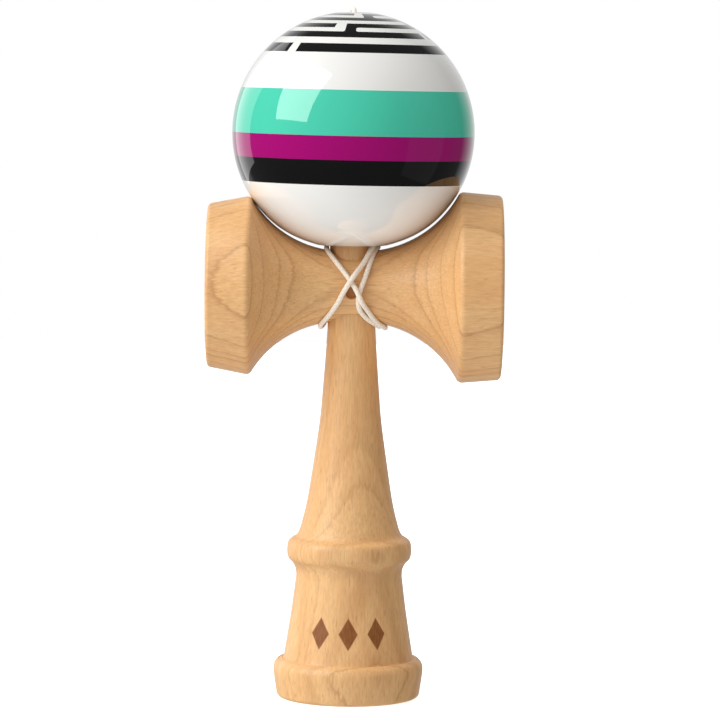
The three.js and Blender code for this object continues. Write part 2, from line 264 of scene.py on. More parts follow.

# %% [markdown]
# Its route round the neck is listed stop by stop, as a winder would count it. Each stop is a turn in
# degrees about the sarado's axis (0 at the front, 90 on top, falling as the string is wound on), a place
# along X, and a lift in millimetres where it crosses an earlier strand.

# %% Winding route
WINDING_ROUTE = [
    (172, 0.75, 0.45), (158, 2.1, 0), (140, 4.3, 0), (125, 5.3, 0), (113, 5.55, 0), (101, 6.25, 0),
    (90, 6.4, 0), (76, 5.95, 0), (62, 5.3, 0), (45, 4.6, 0), (20, 3.4, 0), (-2, 2.1, 0), (-19, 1.6, 0),
    (-33, 1.95, 0), (-49, 3.4, 0), (-62, 4.95, 0), (-75, 6.45, 0), (-90, 6.95, 0), (-110, 6.3, 0),
    (-132, 4.0, 0), (-155, 0.9, 0), (-180, -2.4, 0), (-205, -4.9, 0), (-228, -6.1, 0), (-250, -6.3, 0),
    (-270, -6.4, 0), (-286, -6.3, 0), (-300, -5.6, 0), (-318, -3.9, 0), (-345, -0.8, 0.2),
    (-360, 0.9, 1.1), (-369, 1.8, 1.5), (-380, 2.7, 1.2), (-392, 3.75, 0.3), (-406, 4.9, 0),
    (-422, 6.4, 0), (-436, 7.9, 0), (-450, 8.4, 0), (-475, 7.9, 0), (-505, 6.6, 0), (-530, 5.9, 0.2),
    (-548, 5.4, 0.9), (-563, 4.8, 1.45), (-580, 4.5, 1.4), (-595, 4.45, 1.3), (-607, 4.95, 1.3),
    (-619, 6.05, 1.45), (-630, 6.35, 1.45), (-645, 5.75, 1.45), (-657, 4.85, 1.4), (-668, 4.0, 1.15),
    (-678, 3.2, 0.75), (-690, 2.0, 0.8), (-700, 0.9, 1.5), (-708, -0.1, 1.75), (-717, -1.2, 1.4),
    (-728, -2.3, 0.4), (-743, -3.5, 0), (-763, -5.4, 0), (-780, -7.1, 0), (-793, -7.7, 0),
    (-810, -7.5, 0), (-830, -6.8, 0), (-850, -6.2, 0), (-865, -5.8, 0),
]
print(len(WINDING_ROUTE), "stops round the neck")

# %% [markdown]
# The stops become places in space. On the neck and its flares a place is worked out from the sarado's own
# curve, so the string lies on the wood, and behind the ball it is worked out from the ball. A centripetal
# curve joins them, because it never loops or overshoots where the stops are close together.

# %% Places on the string
def flare_radius(x):
    """The sarado's radius at a place along X, between its neck and its creases."""
    start, size = FLARES[-1 if x < 0 else 1]
    out = max(0.0, abs(x) - start)
    return NECK_RADIUS + size - sqrt(size ** 2 - out ** 2)


def winding_point(turn, x, lift):
    """A point of the winding: degrees round the sarado's axis, place along X, millimetres over the neck."""
    radius = flare_radius(x) + STRING_DIAMETER / 2 + REST_GAP + lift
    angle = radians(turn)
    return Vector((x, -radius * cos(angle), SARADO_HEIGHT + radius * sin(angle)))


def riser_point(rise, distance):
    """A point up the back of the ball: degrees above its equator, and the distance from its centre."""
    angle, lean = radians(rise), radians(RISER_LEAN)
    back = distance * cos(angle)
    return Vector((-back * sin(lean), back * cos(lean), TAMA_CENTRE + distance * sin(angle)))


CURVE_STEPS = 40  # fine steps to each span of the curve, before it is sampled evenly


def centripetal(points, spacing):
    """A centripetal Catmull-Rom curve through the points, sampled evenly. Gives its length as well."""
    guarded = [points[0] * 2 - points[1]] + points + [points[-1] * 2 - points[-2]]
    dense = []
    for span in range(len(points) - 1):
        p0, p1, p2, p3 = guarded[span:span + 4]
        k1 = sqrt((p1 - p0).length)
        k2 = k1 + sqrt((p2 - p1).length)
        k3 = k2 + sqrt((p3 - p2).length)
        for step in range(CURVE_STEPS):
            t = k1 + (k2 - k1) * step / CURVE_STEPS
            a1 = p0 * ((k1 - t) / k1) + p1 * (t / k1)
            a2 = p1 * ((k2 - t) / (k2 - k1)) + p2 * ((t - k1) / (k2 - k1))
            a3 = p2 * ((k3 - t) / (k3 - k2)) + p3 * ((t - k2) / (k3 - k2))
            b1 = a1 * ((k2 - t) / k2) + a2 * (t / k2)
            b2 = a2 * ((k3 - t) / (k3 - k1)) + a3 * ((t - k1) / (k3 - k1))
            dense.append(b1 * ((k2 - t) / (k2 - k1)) + b2 * ((t - k1) / (k2 - k1)))
    dense.append(points[-1].copy())
    lengths = [0.0]
    for a, b in zip(dense, dense[1:]):
        lengths.append(lengths[-1] + (b - a).length)
    total = lengths[-1]
    steps = round(total / spacing)
    even, index = [], 0
    for step in range(steps + 1):
        want = total * step / steps
        while index < len(dense) - 2 and lengths[index + 1] < want:
            index += 1
        share = (want - lengths[index]) / max(lengths[index + 1] - lengths[index], 1e-9)
        even.append(dense[index].lerp(dense[index + 1], min(share, 1.0)))
    return even, total


print("place helpers ready")

# %% [markdown]
# Now the whole path: out of the knot in the ken, round the neck, up the back of the ball, over the mouth
# of the top hole, and down through the bead to its knot.

# %% String path
TAMA_TOP = TAMA_CENTRE + TAMA_RADIUS
BEAD_TOP = BEAD_HIGH.z / MM
BEAD_BOTTOM = BEAD_LOW.z / MM
ON_BALL = TAMA_RADIUS + STRING_DIAMETER / 2 + REST_GAP
KNOT_FACE = 2.1  # where the string leaves its knot in the ken, towards the back
PATH_SPACING = 0.55  # mm from one ring of the cord to the next

string_points = [
    Vector((0, KNOT_FACE, STRING_HOLE_HEIGHT)), Vector((0, 5.2, STRING_HOLE_HEIGHT)),
    Vector((0, 7.6, STRING_HOLE_HEIGHT)), Vector((0.12, 9.5, STRING_HOLE_HEIGHT + 0.4)),
]
string_points += [winding_point(*stop) for stop in WINDING_ROUTE]
string_points += [riser_point(rise, ON_BALL) for rise in (-30, -16, 0, 18, 36, 54, 68, 78)]
string_points += [
    riser_point(84.6, ON_BALL), riser_point(88.3, ON_BALL - 1.2),
    Vector((0, 0, TAMA_TOP - 2.4)), Vector((0, 0, TAMA_TOP - 4.2)), Vector((0, 0, TAMA_TOP - 7)),
    Vector((0, 0, BEAD_TOP - 2)), Vector((0, 0, BEAD_BOTTOM - 0.6)),
]
string_path, STRING_LENGTH = centripetal(string_points, PATH_SPACING)
print("string length", round(STRING_LENGTH, 1), "mm in", len(string_path), "rings")

# %% [markdown]
# The cord is made ring by ring: one circle is extruded along the route, and each new ring is turned by
# the small rotation between one stretch of the route and the next, so it never twists. A UV map is laid
# along it, round the cord in U and along it in V, for the braid to follow.

# %% String mesh
STRING_SIDES = 12


def cord_mesh(name, path, diameter, sides):
    """A closed tube along a path in mm, and its rings, on which a UV map (U once round, V in millimetres
    along) is laid later.
    """
    bm = bmesh.new()
    ahead = (path[1] - path[0]).normalized()
    frame_turn = Vector((0, 0, 1)).rotation_difference(ahead).to_matrix().to_4x4()
    first = Matrix.Translation(path[0] * MM) @ frame_turn
    ring = bmesh.ops.create_circle(
        bm, cap_ends=True, segments=sides, radius=diameter / 2 * MM, matrix=first)["verts"]
    edges = list({edge for vert in ring for edge in vert.link_edges})
    rings = [list(ring)]
    for index in range(1, len(path)):
        grown = bmesh.ops.extrude_edge_only(bm, edges=edges)["geom"]
        ring = [item for item in grown if isinstance(item, bmesh.types.BMVert)]
        edges = [item for item in grown if isinstance(item, bmesh.types.BMEdge) and all(
            vert in ring for vert in item.verts)]
        after = path[min(index + 1, len(path) - 1)] - path[index - 1]
        turn = ahead.rotation_difference(after.normalized()).to_matrix()
        ahead = after.normalized()
        bmesh.ops.translate(bm, verts=ring, vec=(path[index] - path[index - 1]) * MM)
        bmesh.ops.rotate(bm, verts=ring, cent=path[index] * MM, matrix=turn)
        rings.append(ring)
    bmesh.ops.contextual_create(bm, geom=edges)
    return bm, rings


string_bm, string_rings = cord_mesh("string", string_path, STRING_DIAMETER, STRING_SIDES)
print("string rings", len(string_rings), "faces", len(string_bm.faces))

# %% [markdown]
# The braid has to follow the cord, so the UV map is laid ring by ring: each point passes its place in the
# ring on to the point above it. The knots are overhand knots pulled tight. Such a knot settles into a
# trefoil, so the same cord maker runs along a trefoil.

# %% Cord map and knots
KNOT_CORD = 0.92  # a pulled knot squeezes its cord to this share of its thickness
KNOT_STEPS = 96
KNOT_CLOSED = 0.985  # the trefoil stops just short of itself, so that its two ends don't meet
KNOT_FLATNESS = 0.52
KNOT_SPACING = 0.25  # mm of braid from one ring of a knot to the next


def wrap_uv(bm, rings, spacing):
    """Lays a UV map on a tube: U counts round it from 0 to 1, and V counts millimetres along it."""
    place = {vert: (0, side) for side, vert in enumerate(rings[0])}
    for index in range(1, len(rings)):
        for vert in rings[index]:
            beside = [edge.other_vert(vert) for edge in vert.link_edges]
            below = next(other for other in beside if place.get(other, (-1,))[0] == index - 1)
            place[vert] = (index, place[below][1])
    sides = len(rings[0])
    layer = bm.loops.layers.uv.new("UVMap")
    for face in bm.faces:
        around = [place[loop.vert][1] for loop in face.loops]
        wraps = len(face.loops) == 4 and max(around) - min(around) > 1
        for loop, side in zip(face.loops, around):
            turn = side + sides if wraps and side == 0 else side
            loop[layer].uv = (turn / sides, place[loop.vert][0] * spacing)


def knot(name, node, body, centre, size, axis):
    """A tight overhand knot, as a trefoil of cord that fits in a ball of that size (in mm)."""
    cord_size = STRING_DIAMETER * KNOT_CORD
    wide = size - cord_size / 2
    path = []
    for step in range(KNOT_STEPS + 1):
        t = 2 * pi * step / KNOT_STEPS * KNOT_CLOSED
        swing = (2 + cos(3 * t)) / 3 * wide
        path.append(Vector((swing * cos(2 * t), swing * sin(2 * t), -sin(3 * t) * wide * KNOT_FLATNESS)))
    path = [AXES[axis].to_3x3() @ place + Vector(centre) for place in path]
    bm, rings = cord_mesh(name, path, cord_size, 10)
    wrap_uv(bm, rings, KNOT_SPACING)
    made = finished(name, bm)
    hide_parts(node)
    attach(made, body)
    count(made)
    return made


def centre_of(node):
    """The middle of a CAD node's box, in mm."""
    low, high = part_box(node)
    return (low + high) / 2 / MM


print("cord helpers ready")

# %% [markdown]
# The string is one piece from knot to knot. It is left in the scene as it lies, tied to no body; up the
# back of the ball is where a real string would pay out.

# %% String and knots
RING_SPACING = STRING_LENGTH / (len(string_path) - 1)
wrap_uv(string_bm, string_rings, RING_SPACING)
string = finished("string", string_bm)
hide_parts("string_winding", "string_riser")
bead_knot = knot("string_knot_at_bead", "bead_knot", "bead", centre_of("bead_knot"), 2.0, "Z")
ken_knot = knot("string_knot_in_ken", "ken_knot", "ken", centre_of("ken_knot"), 2.1, "Y")
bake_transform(string)
count(string)

# %% [markdown]
# ## Helpers for materials
#
# All colours are written as the hex values a paint chart would give, and one function turns them into the
# linear numbers that the renderer works in. Materials are built from nodes. One small function adds a
# node, sets it and links it, so that each line of a material reads as one step.

# %% Material helpers
def colour(code):
    """A hex colour as linear red, green, blue and alpha."""
    parts = [int(code[i:i + 2], 16) / 255 for i in (1, 3, 5)]
    return tuple(p / 12.92 if p <= 0.04045 else ((p + 0.055) / 1.055) ** 2.4 for p in parts) + (1.0,)


def material(name, **values):
    """A new material. Returns it with its node tree and its Principled shader, set to the values."""
    made = bpy.data.materials.new(name)
    made.use_nodes = True
    shader = made.node_tree.nodes["Principled BSDF"]
    for key, value in values.items():
        shader.inputs[key.replace("_", " ")].default_value = value
    return made, made.node_tree, shader


def add(tree, kind, inputs, out=0, stops=None, between="LINEAR", **settings):
    """Adds a node, fills its inputs with values or with other nodes' outputs, and returns one output.
    Stops are a colour ramp's places and tones: a tone is a hex colour, or a number for a grey."""
    node = tree.nodes.new("ShaderNode" + kind)
    for key, value in settings.items():
        setattr(node, key, value)
    for key, value in inputs.items() if isinstance(inputs, dict) else enumerate(inputs):
        if isinstance(value, bpy.types.NodeSocket):
            tree.links.new(value, node.inputs[key])
        else:
            node.inputs[key].default_value = value
    for index, (place, tone) in enumerate(stops or []):
        elements = node.color_ramp.elements
        if index == 0:
            elements.remove(elements[1])
        element = elements.new(place) if index else elements[0]
        element.position = place
        element.color = colour(tone) if isinstance(tone, str) else (tone, tone, tone, 1.0)
        node.color_ramp.interpolation = between
    return node.outputs[out]


def paint(piece, *materials):
    """Gives a piece its materials, in slot order."""
    piece.data.materials.clear()
    for made in materials:
        piece.data.materials.append(made)


print("material helpers ready")

# %% [markdown]
# ### Beech
#
# Turned beech, sanded and burnished but not varnished. The growth rings are thin cylinders round the pith
# of the tree, so a ring pattern that is cut by the turned surface gives the real figure: straight lines
# along a shaft, arches on a cone and eyes on a band. Where the pith lies decides the figure, so each piece
# has its own. Beech also has short dark ray flecks, about 0.3 mm wide and 2 to 4 mm long, and fine fibre.
# To the eye it is a warm, pale, satin wood: its gloss is broad and weak, and duller where the fibre opens.

# %% Beech
LATE_WOOD = [(0, 0.5), (0.06, 0.0), (0.5, 0.06), (0.8, 0.3), (0.94, 1.0), (1, 0.5)]  # a year's darkness
PALE, MIDDLE, DEEP, FLECK = "#f8cc8f", "#ebb274", "#a96b36", "#8a5a32"


def beech(name, turn, pith, ring_gap, rings, mark=None):
    """Beech, with the grain on the axis that turn (XYZ degrees) brings to Z, and lengths in millimetres.
    The pith and the gap between rings are taken across the grain; rings is how strongly they show."""
    made, tree, shader = material(name, IOR=1.5, Coat_Weight=0.35, Coat_Roughness=0.36, Coat_IOR=1.5)
    space = add(tree, "TexCoord", {}, "Object")
    grain = add(tree, "Mapping", [space, (0, 0, 0), tuple(radians(a) for a in turn), (1000, 1000, 1000)])

    # The rings wander by a few millimetres along the wood, and shiver by under 1 mm across the fibre.
    slow = add(tree, "Mapping", {"Vector": grain, "Scale": (0.05, 0.05, 0.012)})
    wander = add(tree, "TexNoise", {"Vector": slow, "Scale": 1.0, "Detail": 1.0}, "Color")
    moved = add(tree, "VectorMath", [wander, (5.0, 5.0, 0.0), grain], operation="MULTIPLY_ADD")
    thin = add(tree, "Mapping", {"Vector": grain, "Scale": (1.6, 1.6, 0.12)})
    shiver = add(tree, "TexNoise", {"Vector": thin, "Scale": 1.0, "Detail": 2.0}, "Color")
    moved = add(tree, "VectorMath", [shiver, (0.9, 0.9, 0.0), moved], operation="MULTIPLY_ADD")

    # Each point's distance from the pith, counted in years' growth, picks its place in a ring. Good and bad
    # years make the rings uneven in width and in strength.
    moved = add(tree, "VectorMath", [moved, (pith[0], pith[1], 0.0)], operation="SUBTRACT")
    moved = add(tree, "VectorMath", [moved, (1.0, 1.0, 0.0)], operation="MULTIPLY")
    distance = add(tree, "VectorMath", [moved], "Value", operation="LENGTH")
    years = add(tree, "Math", [distance, ring_gap], operation="DIVIDE")
    uneven = add(tree, "TexNoise", {"W": years, "Scale": 0.45, "Detail": 1.0}, "Fac", noise_dimensions="1D")
    shifted = add(tree, "Math", [uneven, 2.2, years], operation="MULTIPLY_ADD")
    phase = add(tree, "Math", [shifted], operation="FRACT")
    late = add(tree, "ValToRGB", [phase], stops=LATE_WOOD)
    share = add(tree, "TexNoise", {"W": years, "Scale": 1.3}, "Fac", noise_dimensions="1D")
    share = add(tree, "Math", [share, 2.4 * rings, -0.62 * rings], operation="MULTIPLY_ADD", use_clamp=True)
    ring = add(tree, "Math", [late, share], operation="MULTIPLY")

    # Fibre: fine streaks a few millimetres long, over long soft ones and slow clouds of tone.
    along = add(tree, "Mapping", {"Vector": grain, "Scale": (2.6, 2.6, 0.24)})
    fibre = add(tree, "TexNoise", {"Vector": along, "Scale": 1.0, "Detail": 3.0, "Roughness": 0.62}, "Fac")
    long = add(tree, "Mapping", {"Vector": grain, "Scale": (0.7, 0.7, 0.02)})
    streak = add(tree, "TexNoise", {"Vector": long, "Scale": 1.0, "Detail": 2.0}, "Fac")
    wide = add(tree, "Mapping", {"Vector": grain, "Scale": (0.06, 0.06, 0.03)})
    cloud = add(tree, "TexNoise", {"Vector": wide, "Scale": 1.0, "Detail": 2.0}, "Fac")
    short = add(tree, "Mapping", {"Vector": grain, "Location": (7, 3, 1), "Scale": (2.6, 2.6, 0.3)})
    dash = add(tree, "TexNoise", {"Vector": short, "Scale": 1.0, "Detail": 0.0}, "Fac")
    fleck = add(tree, "Math", [dash, 8.0, -5.6], operation="MULTIPLY_ADD", use_clamp=True)

    # The colour: a slow mix of pale and middle tones, then fibre, rings and flecks laid over it in turn.
    tone = add(tree, "Math", [cloud, 1.3, -0.42], operation="MULTIPLY_ADD")
    tone = add(tree, "Math", [streak, 0.7, tone], operation="MULTIPLY_ADD", use_clamp=True)
    wood = add(tree, "Mix", {0: tone, 6: colour(PALE), 7: colour(MIDDLE)}, 2, data_type="RGBA")
    lines = add(tree, "Math", [fibre, 1.5, -0.5], operation="MULTIPLY_ADD", use_clamp=True)
    lines = add(tree, "Math", [lines, 0.56], operation="MULTIPLY")
    wood = add(tree, "Mix", {0: lines, 6: wood, 7: colour(DEEP)}, 2, data_type="RGBA")
    wood = add(tree, "Mix", {0: ring, 6: wood, 7: colour(DEEP)}, 2, data_type="RGBA")
    spots = add(tree, "Math", [fleck, 0.26], operation="MULTIPLY")
    wood = add(tree, "Mix", {0: spots, 6: wood, 7: colour(FLECK)}, 2, data_type="RGBA")
    if mark:
        wood = mark(tree, space, fibre, wood)
    tree.links.new(wood, shader.inputs["Base Color"])

    # The surface: open fibre is duller and stands 0.05 mm proud at most, and flecks are a little sunk.
    dull = add(tree, "Math", [fibre, 0.22, 0.36], operation="MULTIPLY_ADD")
    tree.links.new(dull, shader.inputs["Roughness"])
    height = add(tree, "Math", [fleck, -0.7, fibre], operation="MULTIPLY_ADD")
    bump = add(tree, "Bump", {"Height": height, "Strength": 0.3, "Distance": 0.05 * MM})
    tree.links.new(bump, shader.inputs["Normal"])
    return made


print("beech ready")

# %% [markdown]
# ## The tama
#
# The ball is turned from beech, bored for the spike, and sprayed with gloss lacquer in bands: a white
# bottom, a black, a purple and a mint band, white again, and a black labyrinth of rings round the top. The
# bore and the string hole stay bare wood. A sphere with two holes cut in it would have ragged seams, so
# one closed outline is spun instead: down the bore, round its lip, up over the skin, and in at the top.

# %% Tama mesh
BORE_FLAT, FLANK_FLAT = 0.966, 0.988  # the lower half's depth as a share of a ball's, at bore and flank
FLAT_FROM, FLAT_OVER = 8.0, 14.0  # the share changes from this radius, over this many millimetres
BORE_RADIUS = 7.7
BORE_LIP = 0.8
BORE_CORNER = 0.4
BORE_END = TAMA_TOP - 9.6
TOP_HOLE_RADIUS = 1.4
TOP_HOLE_DEPTH = 1.9


def underside(radius):
    """How far below its centre the ball's skin lies. The lower half is sanded a little flat."""
    share = min(max((radius - FLAT_FROM) / FLAT_OVER, 0.0), 1.0)
    share = share * share * (3 - 2 * share)
    return sqrt(max(TAMA_RADIUS ** 2 - radius ** 2, 0.0)) * (BORE_FLAT + (FLANK_FLAT - BORE_FLAT) * share)


def tama_outline():
    """The ball's closed outline: down the bore, up over the skin, and in through the small hole."""
    outer = BORE_RADIUS + 1.3 * BORE_LIP
    outer_height = TAMA_CENTRE - underside(outer)
    points = [(BORE_RADIUS, BORE_END - BORE_CORNER)]
    points += [(BORE_RADIUS, BORE_END - 12 * step) for step in (1, 2, 3)]
    points += arc(BORE_RADIUS + BORE_LIP, outer_height + BORE_LIP, BORE_LIP, 180, 255, 8)
    start = acos(outer / TAMA_RADIUS)
    for step in range(48):
        turn = start * (1 - step / 48)
        points.append((TAMA_RADIUS * cos(turn), TAMA_CENTRE - underside(TAMA_RADIUS * cos(turn))))
    mouth = acos((TOP_HOLE_MOUTH + 0.5) / TAMA_RADIUS)
    for step in range(61):
        turn = mouth * step / 60
        points.append((TAMA_RADIUS * cos(turn), TAMA_CENTRE + TAMA_RADIUS * sin(turn)))
    throat = TAMA_TOP - TOP_HOLE_DEPTH
    points += smooth([
        (TOP_HOLE_MOUTH, TAMA_TOP - 0.3), (TOP_HOLE_RADIUS + 0.66, throat + 1.05),
        (TOP_HOLE_RADIUS, throat - 0.2), (TOP_HOLE_RADIUS, BORE_END),
    ], 6)
    points.append((BORE_RADIUS - BORE_CORNER, BORE_END))
    return points


tama = turned("tama_ball", tama_outline(), sides=160, closed=True)
BARE_LIMIT = 8.15 * MM  # faces nearer the axis than this, below the top hole, are bare wood
for face in tama.data.polygons:
    reach = Vector(face.center[:2]).length
    bored = reach < BARE_LIMIT and face.center.z < (BORE_END + 0.1) * MM
    throat = reach < (TOP_HOLE_RADIUS + 0.25) * MM
    face.material_index = 1 if bored or throat else 0
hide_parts("tama")
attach(tama, "tama")
count(tama)

# %% [markdown]
# ### Gloss lacquer with bands and a labyrinth
#
# The bands are masked and sprayed, so their edges are level and sharp. The labyrinth is black with white
# channels. A channel is a bar with round ends, laid along a line of latitude; a gate is a short bar that
# opens a black ring. All of it is drawn by nodes, so its edges stay sharp from near and far.

# %% Bands and labyrinth
BANDS = [  # height over the ball's centre in mm where each colour starts, from the bottom
    (-30.0, "#f6f5f1"), (-12.4, "#121212"), (-6.3, "#a3006e"), (-0.25, "#4bcbac"), (10.7, "#eeede9"),
]
BLACK = "#121212"
MAZE_START = 19.75  # height over the centre of the labyrinth's lower edge
CHANNEL_CORNER, GATE_CORNER = 0.6, 0.25  # how round their corners are, in mm
CHANNELS = [  # a channel's middle latitude and width in degrees, and its bars: (from, to) in longitude
    (49.1, 4.4, [(-252, 98), (106, 100)]),
    (57.65, 3.5, [(0.5, 148), (157, 351)]),
    (65.1, 3.4, [(-118, 70), (80, 232)]),
    (72.45, 3.5, [(28, 186), (197, 372)]),
    (79.6, 2.4, [(-60, 140), (158, 290)]),
]
GATES = [  # latitudes and longitudes of the gaps in the black rings
    (40.0, 49.1, -47, -40), (49.1, 57.65, 66, 73), (49.1, 57.65, -128, -121), (57.65, 65.1, -19.6, -9),
    (57.65, 65.1, 172, 181), (65.1, 72.45, 128, 141), (65.1, 72.45, -96, -84), (72.45, 79.6, -3.5, 12),
    (40.0, 49.1, 136, 143), (79.6, 90.0, -150, -110),
]
BARS = [(middle - width / 2, middle + width / 2, west, east + 360 * (east < west), CHANNEL_CORNER)
        for middle, width, bars in CHANNELS for west, east in bars]
BARS += [(low, high, west, east, GATE_CORNER) for low, high, west, east in GATES]
BAND_TILT = -0.7  # the ball has rolled a little on its seat, which tilts the bands by this many degrees
print(len(BANDS), "bands and", len(BARS), "white bars in the labyrinth")

# %% [markdown]
# Lacquer is sprayed in coats and flows out level, so it reflects like a mirror with the faintest orange
# peel: windows keep straight edges. A clear coat over the colour gives that. In the labyrinth, the nodes
# work out how far each point lies from each bar, in millimetres along the surface, and the nearest bar
# decides whether it is black or white.

# %% Gloss lacquer
def gloss_lacquer(name):
    """Sprayed gloss lacquer in bands that were masked at fixed heights, with the labyrinth on top."""
    made, tree, shader = material(name, IOR=1.5, Coat_Weight=1.0, Coat_Roughness=0.02, Coat_IOR=1.5)
    space = add(tree, "TexCoord", {}, "Object")
    centred = add(tree, "VectorMath", [space, (0, 0, -TAMA_CENTRE * MM)], operation="ADD")
    place = add(tree, "Mapping", [centred, (0, 0, 0), (0, radians(BAND_TILT), 0), (1000, 1000, 1000)])
    split = add(tree, "SeparateXYZ", [place]).node.outputs
    share = add(tree, "Math", [split["Z"], 1 / (2 * TAMA_RADIUS), 0.5], operation="MULTIPLY_ADD")
    starts = [(height / (2 * TAMA_RADIUS) + 0.5, tone) for height, tone in BANDS]
    bands = add(tree, "ValToRGB", [share], between="CONSTANT", stops=starts)

    # Longitude from the front, latitude, and the radius of the circle of latitude.
    front = add(tree, "Math", [split["Y"], -1.0], operation="MULTIPLY")
    around = add(tree, "Math", [split["X"], front], operation="ARCTAN2")
    sine = add(tree, "Math", [split["Z"], TAMA_RADIUS], operation="DIVIDE", use_clamp=True)
    level = add(tree, "Math", [sine], operation="ARCSINE")
    narrowing = add(tree, "Math", [level], operation="COSINE")
    parallel = add(tree, "Math", [narrowing, TAMA_RADIUS], operation="MULTIPLY")

    white = 1000.0  # the distance to the nearest white bar, which starts far away
    for low, high, west, east, corner in BARS:
        turned_by = add(tree, "Math", [around, radians((west + east) / 2)], operation="SUBTRACT")
        aside = add(tree, "Math", [turned_by, pi, -pi], operation="WRAP")
        beyond = add(tree, "Math", [aside], operation="ABSOLUTE")
        beyond = add(tree, "Math", [beyond, radians((east - west) / 2)], operation="SUBTRACT")
        u = add(tree, "Math", [beyond, parallel, corner], operation="MULTIPLY_ADD")
        over = add(tree, "Math", [level, radians((low + high) / 2)], operation="SUBTRACT")
        over = add(tree, "Math", [over], operation="ABSOLUTE")
        half = radians((high - low) / 2) * TAMA_RADIUS
        v = add(tree, "Math", [over, TAMA_RADIUS, corner - half], operation="MULTIPLY_ADD")
        outer = add(tree, "CombineXYZ", [u, v])
        outer = add(tree, "VectorMath", [outer, (0, 0, 0)], operation="MAXIMUM")
        reach = add(tree, "VectorMath", [outer], "Value", operation="LENGTH")
        inside = add(tree, "Math", [reach, corner], operation="SUBTRACT")
        white = add(tree, "Math", [white, inside], operation="MINIMUM")
    painted = add(tree, "Math", [white, 0.0], operation="GREATER_THAN")
    above = add(tree, "Math", [split["Z"], MAZE_START], operation="GREATER_THAN")
    maze = add(tree, "Math", [painted, above], operation="MULTIPLY")
    tint = add(tree, "Mix", {0: maze, 6: bands, 7: colour(BLACK)}, 2, data_type="RGBA")

    # The film's depth varies a little over 15 mm or so, and orange peel has bumps about 1 mm apart.
    cloud = add(tree, "TexNoise", {"Vector": place, "Scale": 0.06, "Detail": 2.0}, "Fac")
    depth = add(tree, "Math", [cloud, 0.06, 0.96], operation="MULTIPLY_ADD")
    tint = add(tree, "VectorMath", {0: tint, "Scale": depth}, operation="SCALE")
    tree.links.new(tint, shader.inputs["Base Color"])
    haze = add(tree, "TexNoise", {"Vector": place, "Scale": 0.9, "Detail": 3.0}, "Fac")
    dull = add(tree, "Math", [haze, 0.05, 0.03], operation="MULTIPLY_ADD")
    tree.links.new(dull, shader.inputs["Roughness"])
    peel = add(tree, "TexNoise", {"Vector": place, "Scale": 0.8, "Detail": 1.0}, "Fac")
    bump = add(tree, "Bump", {"Height": peel, "Strength": 0.1, "Distance": 0.02 * MM})
    tree.links.new(bump, shader.inputs["Normal"])
    return made


LACQUER = gloss_lacquer("gloss_lacquer_bands")
BARE_BORE = beech("turned_beech_bore", (0, 0, 0), (14.0, 22.0), 3.2, 0.5)
paint(tama, LACQUER, BARE_BORE)
print("lacquer nodes:", len(LACQUER.node_tree.nodes))

# %% [markdown]
# ## The sarado
#
# The cross piece is turned between centres with its grain along X: a narrow neck, a hollow flare on each
# side, a band behind each rim, and a cup at each end, a big one on the right. It is then bored for the
# ken, and drilled for the string from front to back. The creases are eased with sandpaper, so the
# outline's corners become soft bends before it is spun.

# %% Sarado mesh
BIG_CUP = dict(side=1, crease=23.75, rim_out=37.1, rim=22.95, lip=20.3, depth=10.0)
SMALL_CUP = dict(side=-1, crease=22.25, rim_out=35.8, rim=20.45, lip=17.8, depth=8.5)
RIM_ROUNDING = 1.1
LIP_SOFTNESS, CREASE_SOFTNESS = 0.5, 1.1  # how far back a sanded corner reaches
SEAT_HALF = 10.5
SEAT_BOTTOM_RADIUS = 5.95
SEAT_TOP_RADIUS = 5.5
SEAT_GAP = 0.12
STRING_HOLE_RADIUS, STRING_HOLE_MOUTH, MOUTH_DEPTH = 1.5, 2.0, 0.7


def cup_end(spec):
    """One end of the sarado, from the middle of its neck to the deepest point of its cup: (radius, out)."""
    start, size = FLARES[spec["side"]]
    crease_out = start + sqrt(size ** 2 - (size - (spec["crease"] - NECK_RADIUS)) ** 2)
    flare = []
    for step in range(41):
        out = start + (crease_out - start) * step / 40
        flare.append((flare_radius(spec["side"] * out), out))
    rim = spec["rim"] - RIM_ROUNDING, spec["rim_out"] - RIM_ROUNDING
    band = [(spec["crease"] + (rim[0] + RIM_ROUNDING - spec["crease"]) * k / 6,
             crease_out + (rim[1] - crease_out) * k / 6) for k in range(1, 6)]
    face = [((rim[0] + spec["lip"]) / 2, spec["rim_out"])]
    hollow = cup(spec["lip"], spec["depth"], spec["rim_out"], -1, 24)[::-1]
    outline = flare + band + arc(*rim, RIM_ROUNDING, 0, 90, 8) + face + hollow
    outline = eased(outline, nearest(outline, (spec["crease"], crease_out)), CREASE_SOFTNESS)
    return eased(outline, nearest(outline, (spec["lip"], spec["rim_out"])), LIP_SOFTNESS, 4)


def drill(name, radius, mouth, depth, reach):
    """A hole drilled from front to back for the string, with a countersunk mouth at each end."""
    face, start = NECK_RADIUS - 0.05, NECK_RADIUS - depth
    wide = mouth + (reach - face) * 0.7
    outline = [(0, -reach), (wide, -reach), (mouth, -face), (radius, -start)]
    outline += [(r, -h) for r, h in outline[::-1]]
    return turned(name, outline, sides=48, axis="Y", centre=(0, 0, STRING_HOLE_HEIGHT))


